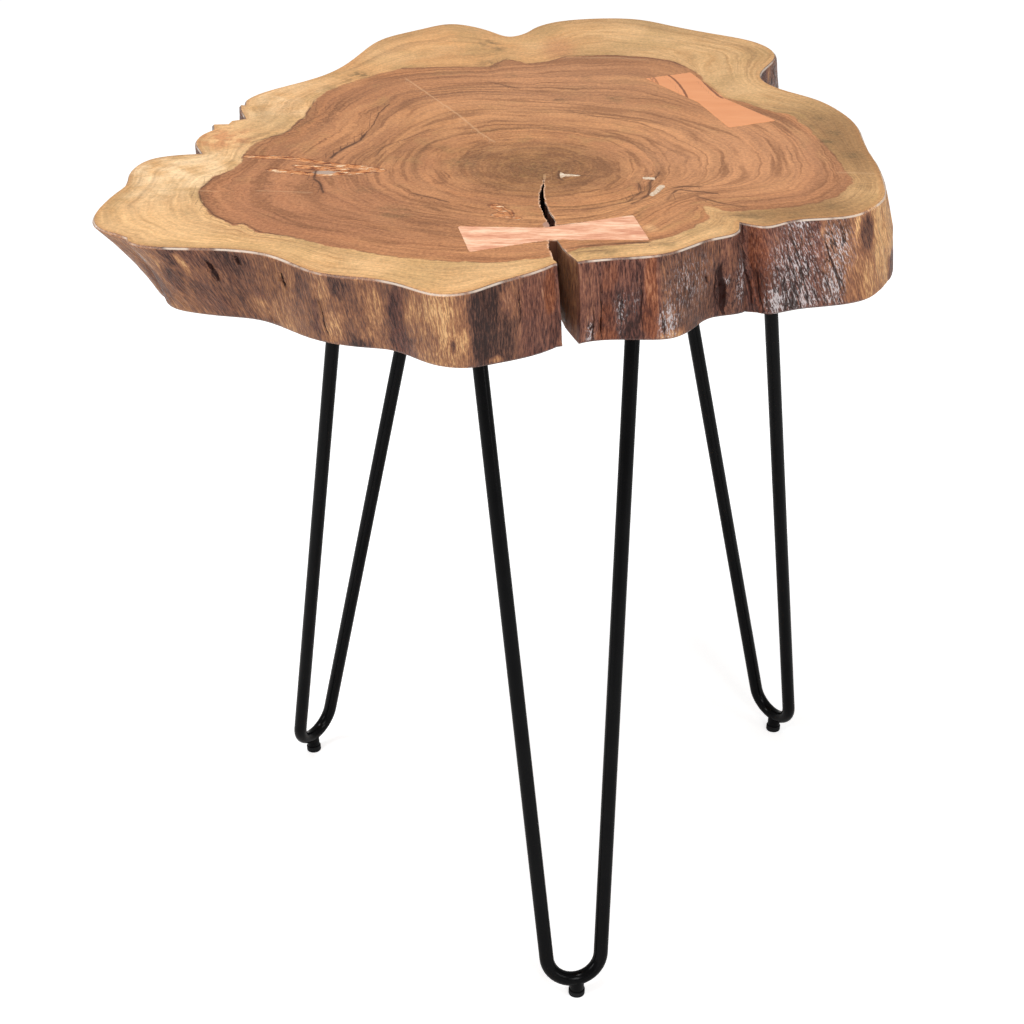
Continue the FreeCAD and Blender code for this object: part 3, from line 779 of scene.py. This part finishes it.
    wood = blend(times(torn, 0.8), wood,
                 blend(between(grain(flat_place, 95), 0.4, 0.6), paint(232, 184, 130), paint(206, 140, 94)))
    fleck = between(grain(flat_place, 150), 0.42, 0.6)
    stain_share = times(mark_of("stain"), sum_of("MULTIPLY_ADD", fleck, 0.75, 0.25))
    wood = tinted(wood, stain_share, 0.9, 96, 82, 54)
    pale_knot = oval_spot(flat_place, 87, -177, (1.0, 0.7, 1.0), 20, 6)
    wood = tinted(wood, pale_knot, 0.8, 222, 172, 122)
    rim_mark = mark_of("rim")
    wood = blend(between(rim_mark, 0.0008, 0.0045, 0.35, 0.0), wood, paint(184, 128, 78))
    gain = swayed(1.0, broad, 0.4)
    for part, size in ((year, 0.32), (close, 0.26), (fine, 0.26), (rays, 0.34), (mottle, 0.3), (crisp, 0.2),
                       (pores, 0.3)):
        gain = swayed(gain, part, size)
    in_sap = between(sap_depth_mark, -0.001, 0.001, 1.0, 0.35)
    line_share = times(times(line, line_here), in_sap)
    hair_share = times(times(hair, hair_here), in_sap)
    line_weight = sum_of("MULTIPLY_ADD", greenish, 0.25, 0.52)
    hair_weight = sum_of("MULTIPLY_ADD", greenish, 0.25, 0.26)
    ring_lines = sum_of("ADD", times(line_share, line_weight), times(hair_share, hair_weight))
    wood = blend(sum_of("MINIMUM", ring_lines, 0.62), wood, paint(116, 72, 46))
    wood = tinted(wood, crisp, 0.12, 222, 168, 112)
    wood = scaled(wood, gain)
    crumbs = grain(scaled_place(flat_place, -120, -65, (0.26, 1.0, 1.0), -14), 330, 3.0, 0.65)
    pocket = tones(crumbs, (0.36, 88, 50, 34), (0.42, 150, 88, 52), (0.47, 192, 122, 74), (0.53, 222, 160, 108),
                   (0.57, 168, 100, 58), (0.63, 244, 214, 176))
    ragged = grain(scaled_place(flat_place, -120, -65, (0.35, 1.0, 1.0), -14), 130, 4.0, 0.7)
    pocket_reach = swayed(mark_of("bark_pocket"), ragged, 1.3)
    pocket_here = between(mark_of("bark_pocket"), 0.02, 0.2)
    wood = blend(times(between(pocket_reach, 0.34, 0.5), pocket_here), wood, pocket)
    pocket_brink = thin_line(sum_of("ADD", pocket_reach, 0.08), 0.16)
    wood = tinted(wood, times(pocket_brink, pocket_here), 0.6, 104, 62, 42)
    grey_fleck = oval_spot(flat_place, -112, -78, (0.45, 1.0, 1.0), -8, 5)
    wood = blend(between(grey_fleck, 0.2, 0.6), wood, paint(176, 152, 136))
    wobble = times(sum_of("SUBTRACT", grain(flat_place, 150), 0.5), 2.2 * MM)
    wood = tinted(wood, line_share_of("pale_line", wobble, 0.7), 0.8, 222, 178, 136)
    broken = between(grain(flat_place, 75), 0.3, 0.52, 0.25, 1.0)
    raised = between(mark_of("torn_rim"), 0.3 * MM, 1.2 * MM, 1.0, 0.0)
    raised = times(raised, between(grain(flat_place, 210, 2.0), 0.36, 0.56))
    wood = tinted(wood, raised, 0.75, 230, 188, 158)
    torn_flake = oval_spot(flat_place, 26.5, -171, (1.0, 0.6, 1.0), 30, 4)
    wood = blend(between(torn_flake, 0.15, 0.5), wood, paint(170, 130, 112))
    # Each dark line: a soft band of painted shade beside it, then its dark core.
    for order in range(len(dark_groups)):
        name_here = "dark_line_%d" % order
        shadow_share = line_share_of(name_here, wobble, 2.0)
        wood = tinted(wood, shadow_share, 0.4, 112, 74, 52)
        dark_core_share = times(line_share_of(name_here, wobble, 0.6, -0.25), broken)
        wood = blend(dark_core_share, wood, paint(66, 40, 29))
    height = sum_of("MULTIPLY_ADD", fine, 0.5, times(pores, 0.5))
    height = sum_of("ADD", height, times(rays, 0.7))
    fill(shader, {"Base Color": wood, "Roughness": sum_of("MULTIPLY_ADD", year, 0.16, gloss),
                  "Specular IOR Level": 0.12, "Coat Weight": coat, "Coat Roughness": 0.2,
                  "Normal": bump_of(wear, 0.0004, height)})
    return finish


top_finish = end_grain("lacquered_end_grain", gloss=0.34, coat=0.08, wear=0.3)
under_finish = end_grain("sawn_underside", gloss=0.62, coat=0.0, wear=0.8)


# The finish of the natural edge: fibres down the wall, tan where bast is left, purple-brown where it is dark, gloss.
def weathered(name, coat):
    finish, shader = new_finish(name)
    fall = mark_of("fall_line", "Vector")
    down = stretched(fall, 1, 1, 0.13)
    half_down = stretched(fall, 1, 1, 0.3)
    fibre = between(grain(down, 1150, 3.0, 0.7), 0.38, 0.62)
    strand = grain(stretched(fall, 1, 1, 0.07), 560, 3.0, 0.65)
    patch = grain(half_down, 70, 4.0, 0.6)
    cloud = grain(fall, 60)
    crackle = grain(half_down, 780, 4.0, 0.75)
    speck = between(crackle, 0.36, 0.64)
    pale = swayed(mark_of("paleness"), patch, 0.5)
    for part, size in ((strand, 0.34), (fibre, 0.32), (speck, 0.2), (cloud, 0.3)):
        pale = swayed(pale, part, size)
    tan = tones(pale, (0.0, 54, 35, 31), (0.18, 88, 58, 49), (0.34, 122, 83, 67), (0.52, 150, 101, 74),
                (0.7, 180, 124, 88), (0.92, 224, 168, 116), (1.0, 248, 198, 140))
    red = tones(pale, (0.0, 54, 32, 28), (0.18, 88, 54, 47), (0.34, 124, 79, 66), (0.52, 148, 97, 77),
                (0.7, 178, 124, 96), (0.92, 214, 162, 124))
    amber = tones(pale, (0.0, 60, 32, 24), (0.3, 116, 63, 44), (0.55, 156, 93, 64), (0.8, 200, 136, 98))
    redness_here = swayed(mark_of("redness"), cloud, 0.5)
    wood = blend(between(redness_here, 0.15, 0.6), tan, red)
    wood = blend(between(redness_here, 0.85, 1.2), wood, amber)
    # Painted sheen and glints: a grey veil and white specks painted into the colour as the lacquer's reflections.
    painted_glint_mark = mark_of("painted_glints")
    wood = tinted(wood, painted_glint_mark, 0.16, 166, 146, 142)
    glint_specks = grain(half_down, 1450, 2.5, 0.6)
    glint_specks = swayed(glint_specks, painted_glint_mark, 0.12)
    glint_specks = swayed(glint_specks, strand, 0.3)
    painted_glint_share = times(between(glint_specks, 0.52, 0.6), between(painted_glint_mark, 0.0, 0.6))
    wood = tinted(wood, painted_glint_share, 0.72, 228, 218, 218)
    crack_away = thin_line(grain(down, 260, 2.0), 0.05)
    crack_here = sum_of("MULTIPLY_ADD", between(painted_glint_mark, 0.1, 0.5), 0.75, 0.12)
    wood = tinted(wood, crack_away, crack_here, 38, 24, 22)
    wobble = times(sum_of("SUBTRACT", strand, 0.5), 1.5 * MM)
    # The slits are painted dark red-brown as the shade inside them.
    for order in range(2):
        wood = blend(line_share_of("slit_%d" % order, wobble, 0.5, -0.25), wood, paint(52, 24, 18))
    # Painted highlight: a pale, near-white line along the rounded top arris.
    height_here = put("ShaderNodeSeparateXYZ", {0: fall}).outputs[2]
    arris_highlight = times(between(height_here, top_level - 1.35 * MM, top_level - 0.9 * MM),
                  between(height_here, top_level - 0.35 * MM, top_level - 0.1 * MM, 1.0, 0.0))
    arris_highlight = times(arris_highlight, between(grain(fall, 45), 0.4, 0.56, 0.15, 0.85))
    wood = blend(arris_highlight, wood, paint(232, 214, 196))
    height = sum_of("MULTIPLY_ADD", strand, 0.9, times(fibre, 0.5))
    height = sum_of("MULTIPLY_ADD", crackle, 0.5, height)
    bump = bump_of(0.55, 0.0011, height)
    fill(shader, {"Base Color": wood, "Roughness": between(crackle, 0.3, 0.7, 0.3, 0.46),
                  "Specular IOR Level": 0.12, "Coat Weight": coat, "Coat Roughness": 0.12,
                  "Normal": bump, "Coat Normal": bump})
    return finish


edge_finish = weathered("weathered_edge", coat=0.22)
check_finish = weathered("check_wall", coat=0.0)

top_slot, edge_slot, check_slot, under_slot = range(4)
mesh.materials.clear()
for finish in (top_finish, edge_finish, check_finish, under_finish):
    mesh.materials.append(finish)
for face in mesh.polygons:
    x, y, z = face.center / MM
    if face.normal.z > 0.8 and z > 557:
        face.material_index = top_slot
    elif face.normal.z < -0.8 and z < 511:
        face.material_index = under_slot
    elif check_left - 3 < x < check_right + 2 and check_front < y < check_back + 3:
        face.material_index = check_slot
    else:
        face.material_index = edge_slot
hold(slab)
bpy.ops.object.shade_smooth_by_angle(angle=smooth_angle)
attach(slab, "root")
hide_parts("trunk_slab")


# Butterfly keys.
# Two bow-tie keys of paler hardwood let into the top, the front one to hold the check closed, sanded flush.
# The rear one is the rougher: its ends are ragged, old glue lines cross it and a gap shows along its right side.
rear_key_lines = (
    (1.2, 0.9, ((116, 130), (120, 119), (123, 106), (125, 91), (126, 77))),
    (0.8, 0.6, ((106, 124), (107.5, 112), (108.5, 101), (107, 97))),
    (0.7, 0.45, ((103, 124), (105, 112), (104.5, 102))),
    (0.8, 0.5, ((99, 117), (101, 113), (104, 105))),
    (1.4, 0.9, ((140, 114), (143, 100), (148, 80), (150, 76))),
    (0.7, 0.5, ((160, 63), (170, 50), (181, 35))),
    (0.8, 0.5, ((126, 74), (131, 62), (137, 45))),
)


def key_finish(name, x, y, turn, pale, middle, dark, wisps, spread):
    finish, shader = new_finish(name)
    place = object_place()
    along = scaled_place(place, x, y, (0.07, 1.0, 0.4), turn)
    broad_along = scaled_place(place, x, y, (0.22, 1.0, 0.4), turn)
    streak = grain(along, 1300, 3.0, 0.7)
    band = grain(broad_along, 130, 3.0, 0.6)
    wisp = grain(broad_along, 420, 4.0, 0.75)
    tone = swayed(band, streak, 0.3 + 0.6 * wisps)
    tone = swayed(tone, wisp, wisps)
    wood = tones(tone, (0.48 - spread, *dark), (0.48, *middle), (0.48 + spread, *pale))
    # Glue stain and painted shade: the key's sides below the top are painted darker.
    glue_stain_and_shade = between(put("ShaderNodeSeparateXYZ", {0: place}).outputs[2], top_level - 1.4 * MM, top_level - 0.5 * MM,
                    1.0, 0.0)
    wood = blend(glue_stain_and_shade, wood, paint(104, 64, 46))
    wobble = times(sum_of("SUBTRACT", grain(place, 150, 2.0), 0.5), 1.5 * MM)
    wood = blend(line_share_of("dark_line", wobble, 0.7, -0.1), wood, paint(96, 54, 36))
    fill(shader, {"Base Color": wood, "Roughness": between(streak, 0.3, 0.7, 0.34, 0.46),
                  "Specular IOR Level": 0.12, "Coat Weight": 0.08, "Coat Roughness": 0.2,
                  "Normal": bump_of(0.2, 0.0004, streak)})
    return finish


def bevel_top(piece, above, width):
    bpy.ops.mesh.select_all(action="DESELECT")
    net = bmesh.from_edit_mesh(piece.data)
    for edge in net.edges:
        edge.select_set(min(vertex.co.z for vertex in edge.verts) > above)
    bmesh.update_edit_mesh(piece.data)
    bpy.ops.mesh.bevel(offset=width, segments=2)


front_middle, rear_middle = (29.5, -185), (141, 74)
front_grain = key_finish("pale_key_grain", *front_middle, -10.7, pale=(246, 208, 176), middle=(230, 170, 136),
                         dark=(204, 138, 108), wisps=0.9, spread=0.23)
rear_grain = key_finish("orange_key_grain", *rear_middle, 66.2, pale=(236, 166, 118), middle=(227, 154, 106),
                        dark=(216, 142, 96), wisps=0.1, spread=0.5)
# Each key: its solid, its piece, its slot, its dark lines, its middle, how ragged its ends are, and its finish.
keys = (
    ("butterfly_key_front", "front_key", "pale_key_wood", (), front_middle, 0.1, front_grain),
    ("butterfly_key_rear", "rear_key", "orange_key_wood", rear_key_lines, rear_middle, 0.7, rear_grain),
)
key_step = 1.3 * MM
key_rise = 0.12 * MM
end_start, end_run = 42 * MM, 8 * MM
for node_name, new_name, slot_name, key_lines, middle, ragged, finish in keys:
    key = opened_copy(node_name, new_name, flat_angle=0.02)
    bevel_top(key, top_level - 0.5 * MM, 0.3 * MM)
    cut_net(key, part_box(node_name), key_step, above_underside, above_underside)
    bpy.ops.object.mode_set(mode="OBJECT")
    mesh = key.data
    places = np.array([vertex.co.to_tuple() for vertex in mesh.vertices])
    keep("dark_line", beside(places[:, :2], key_lines))
    key_middle = np.array(middle) * MM
    for vertex in mesh.vertices:
        away = mathutils.Vector((vertex.co.x - key_middle[0], vertex.co.y - key_middle[1], 0))
        end_share = max(0.0, min(1.0, (away.length - end_start) / end_run))
        rough = rough_at(vertex.co.x * 420, vertex.co.y * 420, 3.3)
        vertex.co += away.normalized() * (ragged * MM * end_share * rough)
        if vertex.co.z > top_level - 1 * MM:
            vertex.co.z += key_rise
    bpy.ops.object.shade_smooth_by_angle(angle=smooth_angle)
    mesh.materials.clear()
    mesh.materials.append(finish)
    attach(key, "root")
    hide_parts(node_name)


# Pale bits in the fissures.
# Chips of light wood and filler that sit tight in the small hollows round the pith, worn level with the top.
def chip_finish():
    finish, shader = new_finish("pale_filler")
    place = object_place()
    speckle = grain(place, 700, 4.0, 0.7)
    body = tones(speckle, (0.3, 166, 132, 104), (0.5, 214, 188, 160), (0.68, 236, 222, 204))
    fill(shader, {"Base Color": body, "Roughness": 0.5, "Specular IOR Level": 0.3,
                  "Normal": bump_of(0.4, 0.0004, speckle)})
    return finish


chip_outlines = {
    "forked_chip": ((36.1, -78.3), (38.3, -81.7), (42.2, -82.6), (45, -83.3), (48.3, -84.4), (47.6, -85.4),
                    (42.2, -85.9), (38.9, -85.8), (37, -88.3), (35.9, -88.9), (35.4, -85), (35.5, -81.7)),
    "short_chip": ((87.2, -87.4), (90.5, -87.6), (94.4, -88.3), (94.5, -92.2), (90.5, -91.9), (87.2, -91.1),
                   (86.8, -89.2)),
    "long_chip": ((96.7, -102.2), (99.4, -102.4), (99.9, -105.6), (96.9, -111.7), (94.6, -117.2), (91.3, -122.2),
                  (89.4, -120.6), (89.8, -117.8), (92.8, -112.8), (94.4, -107.2)),
}
chip_wood = chip_finish()
chip_depth, chip_rise = 2 * MM, 0.25 * MM
for name, outline in chip_outlines.items():
    bpy.ops.object.select_all(action="DESELECT")
    bpy.ops.mesh.primitive_circle_add(vertices=len(outline), radius=1 * MM, fill_type="NGON", location=(0, 0, 0))
    chip = bpy.context.object
    chip.name = name
    for vertex, (x, y) in zip(chip.data.vertices, outline):
        vertex.co = (x * MM, y * MM, top_level - chip_depth)
    bpy.ops.object.mode_set(mode="EDIT")
    bpy.ops.mesh.select_all(action="SELECT")
    bpy.ops.mesh.extrude_region_move(TRANSFORM_OT_translate={"value": (0, 0, chip_depth + chip_rise)})
    bpy.ops.mesh.select_all(action="SELECT")
    bpy.ops.mesh.normals_make_consistent(inside=False)
    bevel_top(chip, top_level, 0.35 * MM)
    bpy.ops.object.mode_set(mode="OBJECT")
    bpy.ops.object.shade_smooth_by_angle(angle=math.radians(50))
    chip.data.materials.append(chip_wood)
    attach(chip, "root")


# Hairpin legs.
# Each is one black round bar bent to a narrow V, welded to a flat plate that four screws hold under the slab.
def coated_steel(name, base, light, rough_low, rough_high, grit, metal=0.0):
    finish, shader = new_finish(name)
    place = object_place()
    cloud = grain(place, 35)
    pebble = grain(place, grit, 2.0)
    fill(shader, {"Base Color": blend(between(cloud, 0.35, 0.65), paint(*base), paint(*light)),
                  "Roughness": between(pebble, 0.3, 0.7, rough_low, rough_high), "Metallic": metal,
                  "Specular IOR Level": 0.1, "Normal": bump_of(0.12, 0.0002, pebble)})
    return finish


leg_finish = coated_steel("black_enamel", (6, 6, 7), (11, 11, 12), rough_low=0.16, rough_high=0.24, grit=1500)
screw_finish = coated_steel("blackened_screws", (46, 45, 44), (64, 62, 60), rough_low=0.35, rough_high=0.5, grit=2200,
                            metal=0.8)
glide_finish = coated_steel("moulded_glides", (26, 26, 27), (36, 36, 37), rough_low=0.45, rough_high=0.6, grit=900)
for name, node_piece in frame["nodes"].items():
    if name.startswith(("hairpin_rod", "mounting_plate", "weld_beads", "foot_stud")):
        node_piece.material_slots[0].material = leg_finish
    elif name.startswith("wood_screws"):
        node_piece.material_slots[0].material = screw_finish
    elif name.startswith("glide"):
        node_piece.material_slots[0].material = glide_finish


# Floor, light and camera.
# A plain white floor that keeps the table's shadow, a soft white room, and a long lens from the front, above.
def background_seen(glossy_share):
    rays = put("ShaderNodeLightPath", {}).outputs
    seen = sum_of("MAXIMUM", rays["Is Camera Ray"], rays["Is Transmission Ray"])
    return sum_of("MAXIMUM", seen, times(rays["Is Glossy Ray"], glossy_share))


bpy.ops.mesh.primitive_plane_add(size=24, location=(0, 0, 0))
floor = bpy.context.object
floor.name = "floor"
floor_finish, shader = new_finish("white_floor")
speck = grain(object_place(), 3, 2.0)
fill(shader, {"Base Color": blend(speck, paint(236, 236, 236), paint(240, 240, 240)), "Roughness": 0.9,
              "Specular IOR Level": 0.0, "Emission Color": (1, 1, 1, 1),
              "Emission Strength": times(background_seen(0.15), 0.62)})
floor.data.materials.append(floor_finish)

room = bpy.data.worlds.new("white_room")
bpy.context.scene.world = room
room.use_nodes = True
tree = room.node_tree
fill(tree.nodes["Background"],
     {"Color": (1, 1, 1, 1), "Strength": between(background_seen(0.1), 0.0, 1.0, 0.36, 1.0)})


def soft_lamp(name, place, aim_height, width, height, power):
    lamp = bpy.data.lights.new(name, "AREA")
    lamp.shape = "RECTANGLE"
    lamp.size = width
    lamp.size_y = height
    lamp.energy = power
    stand = bpy.data.objects.new(name, lamp)
    stand.location = place
    aim = mathutils.Vector((0, 0, aim_height)) - mathutils.Vector(place)
    stand.rotation_euler = aim.to_track_quat("-Z", "Y").to_euler()
    bpy.context.scene.collection.objects.link(stand)


soft_lamp("lamp_overhead", (-0.35, -0.35, 2.3), aim_height=0.5, width=1.5, height=0.35, power=27)
soft_lamp("lamp_front", (0.9, -2.5, 1.6), aim_height=0.45, width=0.5, height=1.1, power=18)
soft_lamp("lamp_left", (-2.2, -1.2, 1.3), aim_height=0.45, width=0.5, height=1.1, power=13)
soft_lamp("lamp_right", (2.1, -1.7, 1.0), aim_height=0.5, width=0.3, height=1.4, power=10)

lens = bpy.data.cameras.new("camera")
lens.lens = 78.63
lens.sensor_width = 36
camera = bpy.data.objects.new("camera", lens)
camera.location = (0.005635, -1.416557, 1.023)
camera.rotation_euler = (math.radians(62.245), 0, 0)
bpy.context.scene.collection.objects.link(camera)
bpy.context.scene.camera = camera
bpy.context.scene.view_settings.view_transform = "Standard"
